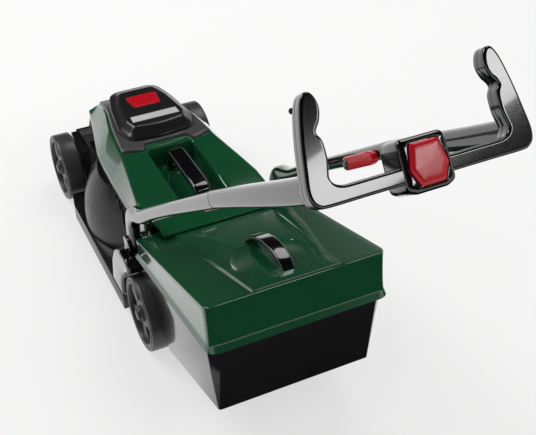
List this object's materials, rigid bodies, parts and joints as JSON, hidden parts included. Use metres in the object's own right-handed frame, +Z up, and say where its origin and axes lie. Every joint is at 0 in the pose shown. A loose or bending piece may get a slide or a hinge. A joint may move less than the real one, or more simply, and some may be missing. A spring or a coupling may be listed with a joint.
{
  "type": "push lawn mower",
  "caption": "Small push lawn mower with four spoked wheels, green hood, grass box and a fold-forward twin-horn handle with a red push button.",
  "frame": {"origin": "on the ground, under the middle of the whole mower's length and width", "axes": "+Y the way the mower is pushed, +X the operator's right, +Z up"},
  "size_m": [0.26, 0.898, 0.6072],
  "materials": {
    "green_moulding": "dark green glossy moulded plastic",
    "red_moulding": "bright red glossy moulded plastic",
    "grey_cover": "dark grey satin moulded plastic",
    "silver_plate": "silver satin blank plate",
    "steel": "bright zinc-plated steel",
    "wheel_moulding": "dark grey satin moulded plastic",
    "black_moulding": "black satin moulded plastic",
    "gloss_black_moulding": "black glossy moulded plastic"
  },
  "bodies": {
    "chassis": {"deck_shell": "black_moulding", "rear_bracket_left": "gloss_black_moulding", "rear_bracket_right": "gloss_black_moulding", "hood_shell": "green_moulding", "motor_cover_base": "grey_cover", "motor_cap": "grey_cover", "cap_accent_panel": "red_moulding", "cap_blank_plate": "silver_plate", "carry_handle": "gloss_black_moulding", "hood_screws": "steel", "click_tongue": "black_moulding", "front_axle": "steel", "flap_hinge_rod": "steel", "flap_hinge_ears": "black_moulding"},
    "front_wheel_left": {"wheel_front_left": "wheel_moulding", "hub_cap_front_left": "wheel_moulding"},
    "front_wheel_right": {"wheel_front_right": "wheel_moulding", "hub_cap_front_right": "wheel_moulding"},
    "rear_wheel_set": {"rear_axle": "steel", "wheel_rear_left": "wheel_moulding", "wheel_rear_right": "wheel_moulding", "hub_cap_rear_left": "wheel_moulding", "hub_cap_rear_right": "wheel_moulding", "click_wheel": "black_moulding"},
    "flap": {"rear_flap": "green_moulding"},
    "grass_box": {"grass_box_tub": "black_moulding", "grass_box_lid": "green_moulding", "lid_handle_strap": "gloss_black_moulding"},
    "handle": {"lower_arm_left": "gloss_black_moulding", "lower_arm_right": "gloss_black_moulding", "pivot_pin_left": "steel", "pivot_pin_right": "steel", "upper_arm_left": "gloss_black_moulding", "upper_arm_right": "gloss_black_moulding", "grip_left_front_shell": "gloss_black_moulding", "grip_left_rear_shell": "gloss_black_moulding", "grip_right_front_shell": "gloss_black_moulding", "grip_right_rear_shell": "gloss_black_moulding", "clamp_pin_left": "steel", "clamp_pin_right": "steel", "grip_screws": "steel", "switch_box": "gloss_black_moulding", "switch_box_cover": "gloss_black_moulding", "button_spring": "steel"},
    "lever_left": {"clamp_lever_left": "red_moulding"},
    "lever_right": {"clamp_lever_right": "red_moulding"},
    "button": {"red_button": "red_moulding"}
  },
  "joints": [
    {"name": "front_wheel_left_spin", "type": "hinge", "parent": "chassis", "child": "front_wheel_left", "pos_m": [-0.1125, 0.395, 0.054], "axis": [1, 0, 0], "continuous": true},
    {"name": "front_wheel_right_spin", "type": "hinge", "parent": "chassis", "child": "front_wheel_right", "pos_m": [0.1125, 0.395, 0.054], "axis": [1, 0, 0], "continuous": true},
    {"name": "rear_wheel_set_spin", "type": "hinge", "parent": "chassis", "child": "rear_wheel_set", "pos_m": [0, 0.009, 0.054], "axis": [1, 0, 0], "continuous": true},
    {"name": "rear_flap_hinge", "type": "hinge", "parent": "chassis", "child": "flap", "pos_m": [0, 0.0395, 0.172], "axis": [-1, 0, 0], "range_deg": [0, 60]},
    {"name": "grass_box_slide", "type": "slide", "parent": "chassis", "child": "grass_box", "axis": [0, -0.9467, 0.3221], "range_m": [0, 0.12]},
    {"name": "handle_fold", "type": "hinge", "parent": "chassis", "child": "handle", "pos_m": [0, 0.061, 0.134], "axis": [-1, 0, 0], "range_deg": [0, 75]},
    {"name": "clamp_left_turn", "type": "hinge", "parent": "handle", "child": "lever_left", "pos_m": [-0.086, -0.1691, 0.35255], "axis": [1, 0, 0], "range_deg": [0, 90]},
    {"name": "clamp_right_turn", "type": "hinge", "parent": "handle", "child": "lever_right", "pos_m": [0.086, -0.1691, 0.35255], "axis": [1, 0, 0], "range_deg": [0, 90]},
    {"name": "red_button_press", "type": "slide", "parent": "handle", "child": "button", "axis": [0, 0.7848, -0.6198], "range_m": [0, 0.003], "stiffness_N_per_m": 400, "springref_m": -0.002}
  ]
}
